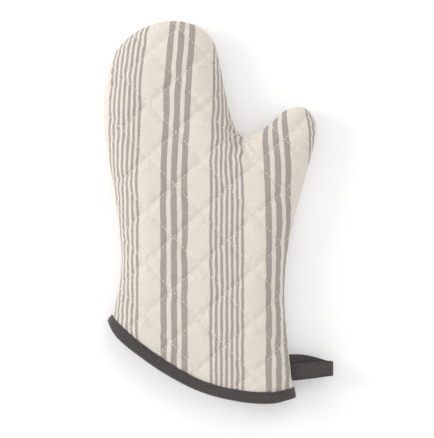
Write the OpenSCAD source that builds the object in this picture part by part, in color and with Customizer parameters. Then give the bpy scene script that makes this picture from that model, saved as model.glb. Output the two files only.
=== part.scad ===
// Quilted cotton oven mitt lying on its back.
// X points to the thumb side, Y to the fingertips, Z up; millimetres.
// The sole is flat on Z = 0. Every panel is a shell of outer cotton, wadding
// and lining. Panels are parted at the knuckles and along the thumb's root, so
// that the fingers and the thumb can fold up over the palm.

/* [Whole mitt] */
// Length from the cuff's lowest point to the fingertips
mitt_length = 330; // [280:1:400]
// Width from the little finger's edge to the end of the hanging loop
mitt_width = 199; // [170:1:240]
// Height of the side seam above the table
seam_height = 15; // [12:0.5:20]
// Height of the upper panel above the side seam
front_rise = 18; // [14:0.5:28]
// Distance over which the upper panel curves up from the seam
front_run = 34; // [24:1:44]
// Distance over which the lower panel curves down to the flat sole
back_run = 22; // [16:1:30]
// Gap left at the side seam between upper and lower panels
seam_gap = 0.7; // [0.5:0.1:1.2]

/* [Layers] */
// Thickness of the outer striped cotton
outer_t = 0.8; // [0.5:0.1:1.5]
// Thickness of the wadding
wadding_t = 3; // [2:0.5:6]
// Thickness of the lining
lining_t = 0.6; // [0.4:0.1:1.2]
// Air between one layer and the next
layer_gap = 0.2; // [0.1:0.05:0.4]

/* [Folds] */
// Height of the two fold lines above the table
fold_height = 21; // [16:1:28]
// Largest fold of the fingers, in degrees
fingers_fold = 50; // [20:5:60]
// Largest fold of the thumb, in degrees
thumb_fold = 50; // [20:5:60]
// Clearance between two parted panels below the fold line
part_gap = 0.6; // [0.3:0.1:1]

/* [Cuff binding] */
// Thickness of the binding tape
binding_t = 0.9; // [0.5:0.1:1.5]
// Clearance between the binding and the panels under it
binding_gap = 0.2; // [0.1:0.05:0.4]
// How far the lower panel lifts off the table at the cuff
cuff_lift = 1.9; // [1.7:0.1:4]
// How much lower the upper panel is at the cuff
cuff_drop = 2; // [0:0.5:8]

/* [Stitching] */
// Distance between neighbouring quilting lines
quilt_pitch = 32; // [20:1:50]
// Width of a run of thread
thread_w = 0.7; // [0.4:0.1:1]
// Height of a run of thread
thread_h = 0.45; // [0.3:0.05:0.8]

/* [Hanging loop] */
// Thickness of the loop's folded tape
tape_t = 1.6; // [1:0.1:2.5]
// Half of the gap between the loop's two legs
loop_half_gap = 3.4; // [2.5:0.1:6]
// Distance from the side seam to the line about which the loop swings
loop_root = 2.8; // [2.6:0.1:4]

/* [Hidden] */

// The outline's points were laid out for a mitt of this length and width.
drawn_length = 330;
drawn_width = 199;
scale_x = mitt_width / drawn_width;
scale_y = mitt_length / drawn_length;
function sized(points) = [for (p = points) [p[0] * scale_x, p[1] * scale_y]];

// Side seam, from the cuff's outer corner over the fingertips, down to the
// crotch, round the thumb and down the wrist to the cuff's thumb corner.
seam_points = sized([
  [-91.5, -89.6], [-88.3, -74], [-85.2, -58], [-84, -40], [-85.5, -18],
  [-90, 16], [-96, 50], [-99.5, 80], [-97.5, 112], [-90, 136], [-75, 153],
  [-55, 162.5], [-36, 165], [-17, 160], [-4, 148], [1.5, 130], [6.5, 104],
  [12.4, 80], [20, 66.5], [32, 68], [45, 77], [56, 87], [68, 91], [79, 87],
  [84.8, 74], [82.5, 54], [75, 26], [66, -8], [60, -38], [57.8, -70],
  [59.3, -100], [62.2, -128], [65, -151.8]
]);
// Places along the seam, counted in points
knuckle_left = 7;
knuckle_right = 17;
crotch = 18;
thumb_foot = 28;
seam_end = 32;
// Lower edge of the binding and the line where the cotton meets it
cuff_edge = sized([
  [-95, -96], [-87, -108.5], [-70, -122.5], [-45, -139.5], [-16, -154.2],
  [15, -162.5], [44, -165], [66, -161]
]);
cuff_line = sized([
  [-91.5, -89.6], [-82, -99.5], [-63.5, -114.5], [-39, -131.3], [-12, -145.5],
  [16, -152.6], [44, -154.6], [65, -151.8]
]);

// Depths of the layers' faces below the outside of the mitt
wadding_in = outer_t + layer_gap;
lining_in = wadding_in + wadding_t + layer_gap;
panel_t = lining_in + lining_t;
back_rise = seam_height - seam_gap / 2;
front_top = seam_height + seam_gap / 2 + front_rise;
binding_out = binding_gap + binding_t;

// Grid of a panel: stations across and along
across = 12;
palm_rows = 12;
lobe_cols = 16;
lobe_rows = 7;

// ---- curves -------------------------------------------------------------
function spline(p, s) =
  let (i = min(floor(s), len(p) - 2), t = s - i)
  let (b = p[i], c = p[i + 1])
  let (a = i > 0 ? p[i - 1] : 2 * b - c)
  let (d = i + 2 < len(p) ? p[i + 2] : 2 * c - b)
  0.5 * (2 * b + (c - a) * t + (2 * a - 5 * b + 4 * c - d) * t * t
    + (3 * b - a - 3 * c + d) * t * t * t);
function unit(v) = v / norm(v);
function seam(s) = spline(seam_points, s);
// Direction from the seam straight into the mitt
function inward(s) =
  let (d = unit(seam(min(s + 0.05, seam_end)) - seam(max(s - 0.05, 0))))
  [d[1], -d[0]];
function mix(a, b, u) = a * (1 - u) + b * u;
function even_cos(k, n) = (1 - cos(180 * k / n)) / 2;

// ---- outline and height -------------------------------------------------
seam_steps = 3;
outline = concat(
  [mix(cuff_line[0], cuff_edge[0], 2)],
  [for (k = [0:seam_end * seam_steps]) seam(k / seam_steps)],
  [mix(cuff_line[7], cuff_edge[7], 2)]
);
function segment_gap(p, a, b) =
  let (e = b - a, k = max(0, min(1, (p - a) * e / (e * e))))
  norm(p - a - e * k);
function seam_distance(p) =
  min([for (i = [0:len(outline) - 2]) segment_gap(p, outline[i], outline[i + 1])]);
// Quarter ellipse: 0 at the seam, 1 once the whole run is passed
function bulge(d, run) =
  let (k = max(0, min(1, d / run)))
  sqrt(1 - (1 - k) * (1 - k));
// 1 at the bound cuff, falling to 0 where the mitt is fully padded
cuff_fade = 50;
cuff_heights = [for (k = [0:14]) spline(cuff_line, k / 2)];
function squeeze_at(p) =
  let (up = max(0, p[1] - lookup(p[0], cuff_heights)))
  pow(max(0, 1 - up / cuff_fade), 2);
// Height of the surface at depth t; side is 1 above and -1 below
function surface_z(p, t, side, d = -1) =
  let (gap = d < 0 ? seam_distance(p) - t : d, squeeze = squeeze_at(p))
  side > 0
    ? seam_height + seam_gap / 2
      + (front_rise - cuff_drop * squeeze - t) * bulge(gap, front_run - t)
    : seam_height - seam_gap / 2
      - (back_rise - cuff_lift * squeeze - t) * bulge(gap, back_run - t);
function at_height(p, t, side, d = -1) = [p[0], p[1], surface_z(p, t, side, d)];

// ---- fold lines ---------------------------------------------------------
fold_dir = unit(seam(thumb_foot) - seam(crotch));
// Square to the thumb's fold line, towards the palm
to_palm = [fold_dir[1], -fold_dir[0]];
// Sideways room a parted edge needs at height z
fold_spare = 6;
function notch(z, fold) =
  part_gap / 2 + max(0, z - fold_height) * tan(fold / 2 + fold_spare);
notch_reach = 7;
crotch_slide = fold_dir / (fold_dir * inward(crotch));
foot_slide = -fold_dir / (-fold_dir * inward(thumb_foot));

// ---- palm ---------------------------------------------------------------
// One row of the palm: left end, its slide per mm of depth, right end, its
// slide, and whether the right end lies on the thumb's fold
wrist_share = 0.46;
fold_share = 0.94;
function slide(s, dir) = dir / (dir * inward(s));
function palm_row(v) =
  let (left_s = knuckle_left * v, a = seam(left_s))
  let (wrist_s = mix(seam_end, thumb_foot, v / wrist_share))
  let (fold_k = (v - wrist_share) / (fold_share - wrist_share))
  let (top_s = mix(crotch, knuckle_right, (v - fold_share) / (1 - fold_share)))
  let (zone = v < wrist_share ? 0 : v <= fold_share ? 1 : 2)
  let (b = zone == 0 ? seam(wrist_s)
    : zone == 1 ? mix(seam(thumb_foot), seam(crotch), fold_k) : seam(top_s))
  let (dir = unit(b - a))
  let (b_slide = zone == 0 ? slide(wrist_s, -dir)
    : zone == 1 ? mix(foot_slide, crotch_slide, fold_k) : slide(top_s, -dir))
  [a, slide(left_s, dir), b, b_slide, zone == 1];
// How far the cuff line bows down from a straight line
function cuff_bow(u) = spline(cuff_line, u * 7) - mix(cuff_line[0], cuff_line[7], u);
function palm_line(v, t, side) =
  let (r = palm_row(v), a = r[0] + t * r[1], b = r[2] + t * r[3])
  let (z = surface_z(b + notch_reach * to_palm, t, side))
  let (end = r[4] ? b + notch(z, thumb_fold) * to_palm : b)
  [for (k = [0:across])
    let (u = even_cos(k, across))
    let (p = mix(a, end, u) + pow(1 - v, 3) * cuff_bow(u))
    let (edge = k == 0 || (k == across && !r[4]))
    let (q = at_height(p, t, side, edge ? 0 : -1))
    v < 1 ? q : [q[0], q[1] - notch(q[2], fingers_fold), q[2]]];
// A row inside the binding; w is the distance from the cuff's lower edge
band_w = norm(cuff_line[3] - cuff_edge[3]);
function band_point(u, w, t, side, edge) =
  let (p = mix(spline(cuff_edge, u * 7), spline(cuff_line, u * 7), w / band_w))
  let (dir = unit(cuff_line[7] - cuff_line[0]))
  let (q = p + t * mix(slide(0, dir), slide(seam_end, -dir), u))
  at_height(q, t, side, edge ? 0 : -1);
function band_line(w, t, side) =
  [for (k = [0:across])
    band_point(even_cos(k, across), w, t, side, k == 0 || k == across)];
band_start = binding_t + 0.5;
function palm_sheet(t, side) = concat(
  [band_line(band_start, t, side)],
  [for (j = [0:palm_rows]) palm_line(j / palm_rows, t, side)]
);

// ---- a lobe: fingers or thumb ------------------------------------------
// A lobe lies between a straight fold and the seam from place s0 to s1;
// slide0 and slide1 carry the fold's ends inward, away points from the palm
function lobe_column(k, t, side, s0, s1, slide0, slide1, away, fold) =
  let (u = k / lobe_cols, s = mix(s0, s1, u))
  let (foot0 = seam(s0) + t * slide0, foot1 = seam(s1) + t * slide1)
  let (foot = mix(foot0, foot1, even_cos(k, lobe_cols)))
  let (end = k == 0 || k == lobe_cols)
  let (nudge = away * part_gap / 2)
  let (tip = end ? foot + nudge : seam(s) + t * inward(s))
  let (z = surface_z(foot + notch_reach * away, t, side))
  let (start = foot + notch(z, fold) * away)
  end ? [at_height(tip, t, side, 0)]
    : [for (j = [0:lobe_rows])
        let (w = sin(90 * j / lobe_rows))
        at_height(mix(start, tip, w), t, side, j == lobe_rows ? 0 : -1)];
function fingers_column(k, t, side) =
  lobe_column(k, t, side, knuckle_left, knuckle_right, [1, 0], [-1, 0], [0, 1],
    fingers_fold);
function thumb_column(k, t, side) =
  lobe_column(k, t, side, crotch, thumb_foot, crotch_slide, foot_slide, -to_palm,
    thumb_fold);

// ---- solids from two sheets --------------------------------------------
// Lines of points, joined face to face; an end line may be one single point
function starts(lines, i = 0, sum = 0) =
  i > len(lines) ? [] : concat([sum],
    starts(lines, i + 1, sum + (i < len(lines) ? len(lines[i]) : 0)));
function index(lines, first, i, j) = first[i] + min(j, len(lines[i]) - 1);
function real_faces(faces) =
  [for (f = faces) if (f[0] != f[1] && f[1] != f[2] && f[2] != f[0]) f];
function flipped(f) = [f[2], f[1], f[0]];
function reversed(f) = [for (i = [len(f) - 1:-1:0]) f[i]];
module shell(upper, lower, flip) {
  first = starts(upper);
  n = first[len(upper)];
  rows = len(upper) - 1;
  cols = max([for (l = upper) len(l)]) - 1;
  top = real_faces([for (i = [0:rows - 1], j = [0:cols - 1], h = [0, 1])
    let (a = index(upper, first, i, j), b = index(upper, first, i, j + 1))
    let (c = index(upper, first, i + 1, j + 1), d = index(upper, first, i + 1, j))
    h == 0 ? [a, b, c] : [a, c, d]]);
  rim = concat(
    [for (i = [0:rows - 1]) [index(upper, first, i, 0), index(upper, first, i + 1, 0)]],
    [for (j = [0:cols - 1]) [index(upper, first, rows, j), index(upper, first, rows, j + 1)]],
    [for (i = [rows:-1:1])
      [index(upper, first, i, cols), index(upper, first, i - 1, cols)]],
    [for (j = [cols:-1:1]) [index(upper, first, 0, j), index(upper, first, 0, j - 1)]]
  );
  wall = [for (e = rim, h = [0, 1]) if (e[0] != e[1])
    h == 0 ? [e[0], e[1], e[1] + n] : [e[0], e[1] + n, e[0] + n]];
  bottom = [for (f = top) flipped(f) + [n, n, n]];
  all = concat(top, wall, bottom);
  polyhedron(
    points = concat([for (l = upper) each l], [for (l = lower) each l]),
    faces = flip ? [for (f = all) flipped(f)] : all
  );
}
// Sections of equal size joined one after another; a ring when closed
module sweep(sections, closed, flip = false) {
  m = len(sections[0]);
  n = len(sections);
  spans = closed ? n : n - 1;
  sides = [for (i = [0:spans - 1], j = [0:m - 1], h = [0, 1])
    let (a = i * m + j, b = i * m + (j + 1) % m)
    let (c = ((i + 1) % n) * m + (j + 1) % m, d = ((i + 1) % n) * m + j)
    h == 0 ? [a, b, c] : [a, c, d]];
  caps = closed ? [] : [
    [for (j = [m - 1:-1:0]) j],
    [for (j = [0:m - 1]) (n - 1) * m + j]
  ];
  all = concat(sides, caps);
  polyhedron(
    points = [for (s = sections) each s],
    faces = flip ? [for (f = all) reversed(f)] : all
  );
}

// ---- threads ------------------------------------------------------------
// Slopes of the two families of quilting lines, in degrees
falling_angle = -46.4;
rising_angle = 41.7;
rising_pitch = quilt_pitch * 1.035;
// Distance of each family's middle line from the middle of the mitt
falling_shift = -11.3;
rising_shift = 9;
// Distance between samples along a line, and samples each side of its middle
quilt_step = 5;
quilt_reach = 40;
// Distance kept from the side seam and from the fold lines
edge_clear = 9;
fold_clear = 8;
// Distance kept from the cuff's upper edge
cuff_clear = 3;
// Air between a quilting thread and the layer it lies on
thread_gap = 0.4;
// Lift of one family over the other, as a share of the thread's height
crossing_lift = 1.2;
closed_outline = concat(outline, [for (k = [7:-1:0]) spline(cuff_edge, k)]);
function crossings(p, q) =
  [for (i = [0:len(q) - 1])
    let (a = q[i], b = q[(i + 1) % len(q)])
    if ((a[1] > p[1]) != (b[1] > p[1])
      && p[0] < a[0] + (b[0] - a[0]) * (p[1] - a[1]) / (b[1] - a[1])) 1];
function on_mitt(p) =
  len(crossings(p, closed_outline)) % 2 == 1 && seam_distance(p) > edge_clear
    && p[1] > lookup(p[0], cuff_heights) + cuff_clear;
// Distance past the thumb's fold line
function past_fold(p) = (seam(crotch) - p) * to_palm;
knuckle_y = seam(knuckle_left)[1];
PALM = 0;
FINGERS = 1;
THUMB = 2;
function in_region(p, region) =
  region == FINGERS ? p[1] > knuckle_y + fold_clear
    : region == THUMB
      ? p[0] > seam(crotch)[0] && past_fold(p) > fold_clear
      : p[1] < knuckle_y - fold_clear && past_fold(p) < -fold_clear;
// Sections of a thread between two depths, square to the line's direction
function at_depth(centres, dir, depth, side) =
  [for (p = centres)
    let (z0 = surface_z(p, depth[0], side), z1 = surface_z(p, depth[1], side))
    let (a = p - dir * thread_w / 2, b = p + dir * thread_w / 2)
    let (lo = min(z0, z1), hi = max(z0, z1))
    [[a[0], a[1], lo], [b[0], b[1], lo], [b[0], b[1], hi], [a[0], a[1], hi]]];
module quilt_family(angle, pitch, shift, region, depth, side) {
  along = [cos(angle), sin(angle)];
  square = [-along[1], along[0]];
  for (k = [-8:8]) {
    run = [for (i = [-quilt_reach:quilt_reach])
      let (p = square * (shift + k * pitch) + along * i * quilt_step)
      if (on_mitt(p) && in_region(p, region)) p];
    if (len(run) > 1) sweep(at_depth(run, square, depth, side), false, true);
  }
}
// Runs of quilting thread: outside on the front, inside on the back
module quilting(region, side) {
  first = side > 0 ? -thread_gap : panel_t + 2 * thread_gap;
  step = -side * thread_h;
  near = [first, first + step];
  over = near + [step, step] * crossing_lift;
  quilt_family(falling_angle, quilt_pitch, falling_shift, region, near, side);
  quilt_family(rising_angle, rising_pitch, rising_shift, region, over, side);
}

// Seam thread between the upper and the lower rim
seam_thread_in = 4.6;
seam_clear = 0.3;
thumb_seam_clear = 1;
module seam_run(s0, s1) {
  n = ceil((s1 - s0) * 2);
  sweep([for (k = [0:n])
    let (s = mix(s0, s1, k / n), q = seam(s) + seam_thread_in * inward(s))
    let (a = q - inward(s) * thread_w / 2, b = q + inward(s) * thread_w / 2)
    let (lo = seam_height - thread_h / 2, hi = seam_height + thread_h / 2)
    [[a[0], a[1], lo], [b[0], b[1], lo], [b[0], b[1], hi], [a[0], a[1], hi]]], false);
}

// Cross-section of the binding as distances from the cuff's edge and depths
binding_round = 1.6;
binding_section = [
  [band_w, -binding_out], [binding_round, -binding_out], [0, outer_t],
  [0, panel_t - outer_t], [binding_round, panel_t + binding_out],
  [band_w, panel_t + binding_out], [band_w, panel_t + binding_gap],
  [binding_t + binding_gap, panel_t + binding_gap],
  [binding_t + binding_gap, -binding_gap], [band_w, -binding_gap]
];
ring_columns = concat(
  [for (k = [0:across]) [k, 1]],
  [for (k = [across:-1:0]) [k, -1]]
);
function ring_section(profile) =
  [for (c = ring_columns)
    [for (q = profile)
      band_point(even_cos(c[0], across), q[0], q[1], c[1],
        c[0] == 0 || c[0] == across)]];
// Row of stitching round the binding: distance from its upper edge, height
// and air under it
stitch_in = 1.6;
stitch_h = 0.35;
stitch_gap = 0.05;
stitch_low = -binding_out - stitch_gap;
stitch_section = [
  [band_w - stitch_in, stitch_low],
  [band_w - stitch_in - thread_w, stitch_low],
  [band_w - stitch_in - thread_w, stitch_low - stitch_h],
  [band_w - stitch_in, stitch_low - stitch_h]
];

// ---- hanging loop -------------------------------------------------------
loop_place = 31.3;
loop_out = -inward(loop_place);
loop_along = [loop_out[1], -loop_out[0]];
swing_point = seam(loop_place) + loop_root * loop_out;
loop_tip = mitt_width / 2;
// How far the legs reach back past the swing line, and their height there
loop_nose = 1.2;
root_rise = 1;
// Edges of the tape along Y where a leg starts and where it folds
upper_root = [-146.4 * scale_y, -132.8 * scale_y];
lower_root = [-136.3 * scale_y, -123.3 * scale_y];
folded_end = [-142 * scale_y, -129.2 * scale_y];
leg_rise = loop_half_gap + tape_t / 2;
fold_centre = loop_tip - leg_rise - tape_t / 2;
leg_steps = 4;
fold_steps = 8;
function swing_x(y) = swing_point[0] + (y - swing_point[1]) * loop_along[0] / loop_along[1];
// A leg's station: distance along X from start to fold, height off the seam
function leg_z(w, way) = way * mix(root_rise, leg_rise, sin(90 * min(1, w * 1.6)));
function leg_station(w, way, root, grow) =
  let (y0 = mix(root[0], folded_end[0], w), y1 = mix(root[1], folded_end[1], w))
  let (z = seam_height + leg_z(w, way) + grow * way * tape_t / 2)
  let (xa = mix(swing_x(y0) - loop_nose, fold_centre, w))
  let (xb = mix(swing_x(y1) - loop_nose, fold_centre, w))
  [[xa, y0, z], [xb, y1, z]];
function fold_station(angle, grow) =
  let (r = leg_rise + grow * tape_t / 2)
  let (x = fold_centre + r * cos(angle), z = seam_height + r * sin(angle))
  [[x, folded_end[0], z], [x, folded_end[1], z]];
function loop_station(i, grow) =
  i < leg_steps ? leg_station(i / leg_steps, -1, lower_root, grow)
    : i <= leg_steps + fold_steps
      ? fold_station(-90 + 180 * (i - leg_steps) / fold_steps, grow)
      : leg_station((2 * leg_steps + fold_steps - i) / leg_steps, 1, upper_root, grow);
loop_last = 2 * leg_steps + fold_steps;
module tape_strip(edge0, edge1, grow0, grow1) {
  sweep([for (i = [0:loop_last])
    let (o = loop_station(i, grow1), n = loop_station(i, grow0))
    [mix(o[0], o[1], edge0), mix(o[0], o[1], edge1),
      mix(n[0], n[1], edge1), mix(n[0], n[1], edge0)]], false, true);
}
// Place and width of the loop's stitching as shares of the tape's width
tape_stitch = 0.1;
stitch_width = 0.05;
// Its underside and top as multiples of half the tape's thickness
stitch_under = 1.15;
stitch_over = 1.5;
// The tape's sewn-in ends: how far they reach in, out and to each side
ends_in = 3.9;
ends_out = 0.2;
ends_reach = 11;

module palm_layer(t0, t1, side) {
  shell(palm_sheet(t0, side), palm_sheet(t1, side), side > 0);
}
module fingers_layer(t0, t1, side) {
  shell(
    [for (k = [0:lobe_cols]) fingers_column(k, t0, side)],
    [for (k = [0:lobe_cols]) fingers_column(k, t1, side)],
    side < 0
  );
}
module thumb_layer(t0, t1, side) {
  shell(
    [for (k = [0:lobe_cols]) thumb_column(k, t0, side)],
    [for (k = [0:lobe_cols]) thumb_column(k, t1, side)],
    side < 0
  );
}

module palm_front_outer() {
  color("linen") palm_layer(0, outer_t, 1);
}
module palm_front_wadding() {
  color("white") palm_layer(wadding_in, wadding_in + wadding_t, 1);
}
module palm_front_lining() {
  color("antiquewhite") palm_layer(lining_in, panel_t, 1);
}
module palm_back_outer() {
  color("linen") palm_layer(0, outer_t, -1);
}
module palm_back_wadding() {
  color("white") palm_layer(wadding_in, wadding_in + wadding_t, -1);
}
module palm_back_lining() {
  color("antiquewhite") palm_layer(lining_in, panel_t, -1);
}
module fingers_front_outer() {
  color("linen") fingers_layer(0, outer_t, 1);
}
module fingers_front_wadding() {
  color("white") fingers_layer(wadding_in, wadding_in + wadding_t, 1);
}
module fingers_front_lining() {
  color("antiquewhite") fingers_layer(lining_in, panel_t, 1);
}
module fingers_back_outer() {
  color("linen") fingers_layer(0, outer_t, -1);
}
module fingers_back_wadding() {
  color("white") fingers_layer(wadding_in, wadding_in + wadding_t, -1);
}
module fingers_back_lining() {
  color("antiquewhite") fingers_layer(lining_in, panel_t, -1);
}
module thumb_front_outer() {
  color("linen") thumb_layer(0, outer_t, 1);
}
module thumb_front_wadding() {
  color("white") thumb_layer(wadding_in, wadding_in + wadding_t, 1);
}
module thumb_front_lining() {
  color("antiquewhite") thumb_layer(lining_in, panel_t, 1);
}
module thumb_back_outer() {
  color("linen") thumb_layer(0, outer_t, -1);
}
module thumb_back_wadding() {
  color("white") thumb_layer(wadding_in, wadding_in + wadding_t, -1);
}
module thumb_back_lining() {
  color("antiquewhite") thumb_layer(lining_in, panel_t, -1);
}
module palm_front_quilting() {
  color("ivory") quilting(PALM, 1);
}
module palm_back_quilting() {
  color("ivory") quilting(PALM, -1);
}
module fingers_front_quilting() {
  color("ivory") quilting(FINGERS, 1);
}
module fingers_back_quilting() {
  color("ivory") quilting(FINGERS, -1);
}
module thumb_front_quilting() {
  color("ivory") quilting(THUMB, 1);
}
module thumb_back_quilting() {
  color("ivory") quilting(THUMB, -1);
}
module palm_seam_thread() {
  color("ivory") {
    seam_run(seam_clear, knuckle_left - seam_clear);
    seam_run(thumb_foot + seam_clear, seam_end);
  }
}
module fingers_seam_thread() {
  color("ivory") seam_run(knuckle_left + seam_clear, knuckle_right - seam_clear);
}
module thumb_seam_thread() {
  color("ivory") seam_run(crotch + thumb_seam_clear, thumb_foot - thumb_seam_clear);
}
module cuff_binding() {
  color("dimgray") sweep(ring_section(binding_section), true, true);
}
module binding_stitching() {
  color("black") sweep(ring_section(stitch_section), true);
}
module hanging_loop() {
  color("dimgray") tape_strip(0, 1, -1, 1);
}
module loop_stitching() {
  color("black") {
    tape_strip(tape_stitch, tape_stitch + stitch_width, stitch_under, stitch_over);
    tape_strip(1 - tape_stitch - stitch_width, 1 - tape_stitch, stitch_under, stitch_over);
  }
}
module loop_seam_ends() {
  middle = seam(loop_place);
  color("dimgray") sweep([for (k = [-1, 1])
    let (a = middle + k * ends_reach * loop_along - ends_in * loop_out)
    let (b = middle + k * ends_reach * loop_along + ends_out * loop_out)
    let (lo = seam_height - thread_h / 2, hi = seam_height + thread_h / 2)
    [[a[0], a[1], lo], [b[0], b[1], lo], [b[0], b[1], hi], [a[0], a[1], hi]]], false, true);
}

palm_front_outer();
palm_front_wadding();
palm_front_lining();
palm_back_outer();
palm_back_wadding();
palm_back_lining();
fingers_front_outer();
fingers_front_wadding();
fingers_front_lining();
fingers_back_outer();
fingers_back_wadding();
fingers_back_lining();
thumb_front_outer();
thumb_front_wadding();
thumb_front_lining();
thumb_back_outer();
thumb_back_wadding();
thumb_back_lining();
palm_front_quilting();
palm_back_quilting();
fingers_front_quilting();
fingers_back_quilting();
thumb_front_quilting();
thumb_back_quilting();
palm_seam_thread();
fingers_seam_thread();
thumb_seam_thread();
cuff_binding();
binding_stitching();
hanging_loop();
loop_stitching();
loop_seam_ends();
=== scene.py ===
"""Quilted cotton oven mitt lying on its back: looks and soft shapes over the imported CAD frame.
Shapes are worked out in millimetres in the CAD's axes and written to meshes in metres."""

import math

import bpy
import numpy as np
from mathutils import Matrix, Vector
from mathutils.bvhtree import BVHTree
from mathutils.geometry import delaunay_2d_cdt
from mathutils.kdtree import KDTree


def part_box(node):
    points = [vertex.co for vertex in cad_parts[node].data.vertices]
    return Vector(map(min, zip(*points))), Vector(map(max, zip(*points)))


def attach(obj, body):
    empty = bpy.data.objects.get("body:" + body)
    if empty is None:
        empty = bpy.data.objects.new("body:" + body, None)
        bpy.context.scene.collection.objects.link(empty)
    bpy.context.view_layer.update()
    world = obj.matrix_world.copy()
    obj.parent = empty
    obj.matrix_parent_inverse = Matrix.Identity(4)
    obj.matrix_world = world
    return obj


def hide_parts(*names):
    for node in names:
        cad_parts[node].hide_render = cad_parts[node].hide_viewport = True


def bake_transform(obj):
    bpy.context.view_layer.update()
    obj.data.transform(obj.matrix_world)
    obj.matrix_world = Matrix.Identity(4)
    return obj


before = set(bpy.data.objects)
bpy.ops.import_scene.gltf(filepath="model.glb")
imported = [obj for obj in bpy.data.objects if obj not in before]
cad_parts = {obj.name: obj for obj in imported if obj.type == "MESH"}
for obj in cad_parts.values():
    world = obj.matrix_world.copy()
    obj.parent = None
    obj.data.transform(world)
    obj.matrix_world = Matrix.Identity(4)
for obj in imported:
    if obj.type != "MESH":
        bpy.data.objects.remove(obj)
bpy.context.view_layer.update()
MM = 0.001


# ---- the frame's sizes, in millimetres ---------------------------------
def node_box(*names):
    """The lowest and highest corners of the named CAD nodes together."""
    lows, highs = zip(*(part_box(n) for n in names))
    return np.min(lows, axis=0) * 1000, np.max(highs, axis=0) * 1000


OUTER = [f"{body}_{face}_outer" for body in ("palm", "fingers", "thumb") for face in ("front", "back")]
MITT_LO, MITT_HI = node_box(*OUTER)
LINING_HI = node_box("palm_front_lining", "palm_back_lining")[1]
THREAD_LO, THREAD_HI = node_box("fingers_seam_thread")
# The outline below was drawn for a mitt this wide whose fingertips are this far from the origin
DRAWN_WIDTH, DRAWN_REACH = 184.42, 165.0
SX = (MITT_HI[0] - MITT_LO[0]) / DRAWN_WIDTH
SY = MITT_HI[1] / DRAWN_REACH
TOP = float(MITT_HI[2])
LINING_T = 0.6
PANEL_T = float(TOP - LINING_HI[2]) + LINING_T
SEAM_Z = float(THREAD_LO[2] + THREAD_HI[2]) / 2
# Each face rises to its full height within this distance of the side seam
FRONT_RISE, BACK_RISE = TOP - SEAM_Z, SEAM_Z
FRONT_RUN, BACK_RUN = 34.0, 22.0
# How much the faces come together at the cuff, and how far up the mitt that reaches
CUFF_LIFT, CUFF_DROP, CUFF_REACH = 1.9, 2.0, 50
# The panels stop this far short of the binding's edge, and the sole stays this far above the floor
EDGE_SHORT, SOLE_CLEAR = 1.2, 0.45


def sized(points):
    return np.array(points, float) * (SX, SY)


# Side seam from the cuff's outer corner over the fingertips, the crotch and the thumb to the wrist's corner
SEAM = sized([
    (-91.5, -89.6), (-88.3, -74), (-85.2, -58), (-84, -40), (-85.5, -18), (-90, 16), (-96, 50), (-99.5, 80),
    (-97.5, 112), (-90, 136), (-75, 153), (-55, 162.5), (-36, 165), (-17, 160), (-4, 148), (1.5, 130), (6.5, 104),
    (12.4, 80), (20, 66.5), (32, 68), (45, 77), (56, 87), (68, 91), (79, 87), (84.8, 74), (82.5, 54), (75, 26),
    (66, -8), (60, -38), (57.8, -70), (59.3, -100), (62.2, -128), (65, -151.8)])
# The cuff's edge, and above it the upper edge of its binding
CUFF_EDGE = sized([(-95, -96), (-87, -108.5), (-70, -122.5), (-45, -139.5), (-16, -154.2), (15, -162.5),
                   (44, -165), (66, -161)])
CUFF_LINE = sized([(-91.5, -89.6), (-82, -99.5), (-63.5, -114.5), (-39, -131.3), (-12, -145.5), (16, -152.6),
                   (44, -154.6), (65, -151.8)])
SEAM_END, CUFF_END = len(SEAM) - 1, len(CUFF_EDGE) - 1
CROTCH_AT, FOOT_AT = 18.0, 28.0
CROTCH, THUMB_FOOT = SEAM[int(CROTCH_AT)], SEAM[int(FOOT_AT)]
BAND_W = float(np.linalg.norm(CUFF_LINE[3] - CUFF_EDGE[3]))


def spline(p, s):
    """Points on the smooth curve through p; s counts p's points from 0."""
    s = np.atleast_1d(np.asarray(s, float))
    i = np.minimum(np.floor(s).astype(int), len(p) - 2)
    t = (s - i)[:, None]
    b, c = p[i], p[i + 1]
    a = np.where((i > 0)[:, None], p[np.maximum(i - 1, 0)], 2 * b - c)
    d = np.where((i + 2 < len(p))[:, None], p[np.minimum(i + 2, len(p) - 1)], 2 * c - b)
    return 0.5 * (2 * b + (c - a) * t + (2 * a - 5 * b + 4 * c - d) * t**2 + (3 * b - a - 3 * c + d) * t**3)


def unit(v):
    return v / np.maximum(np.linalg.norm(v, axis=-1, keepdims=True), 1e-9)


def inward(s):
    """Direction into the mitt, square to the side seam at s."""
    s = np.atleast_1d(np.asarray(s, float))
    d = unit(spline(SEAM, np.minimum(s + 0.05, SEAM_END)) - spline(SEAM, np.maximum(s - 0.05, 0)))
    return np.stack([d[:, 1], -d[:, 0]], 1)


def smooth(x, lo, hi):
    """A step from 0 at lo to 1 at hi with rounded ends."""
    t = np.clip((x - lo) / (hi - lo), 0, 1)
    return t * t * (3 - 2 * t)


SEAM_S = np.concatenate([np.linspace(i, i + 1, 9)[:-1] for i in range(SEAM_END)] + [[float(SEAM_END)]])
# The seam as a fine polyline, carried on straight past both ends of the cuff
SIDE = np.vstack([2 * CUFF_EDGE[0] - CUFF_LINE[0], spline(SEAM, SEAM_S), 2 * CUFF_EDGE[-1] - CUFF_LINE[-1]])


def seam_distance(p):
    """Distance from each point to the side seam, and the direction from the seam to the point."""
    p = np.asarray(p, float)
    best, way = np.full(len(p), 1e9), np.zeros((len(p), 2))
    for a, b in zip(SIDE[:-1], SIDE[1:]):
        e = b - a
        t = np.clip(((p - a) @ e) / (e @ e), 0, 1)
        v = p - a - t[:, None] * e
        d = np.linalg.norm(v, axis=1)
        closer = d < best
        best[closer], way[closer] = d[closer], v[closer]
    return best, unit(way)


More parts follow.
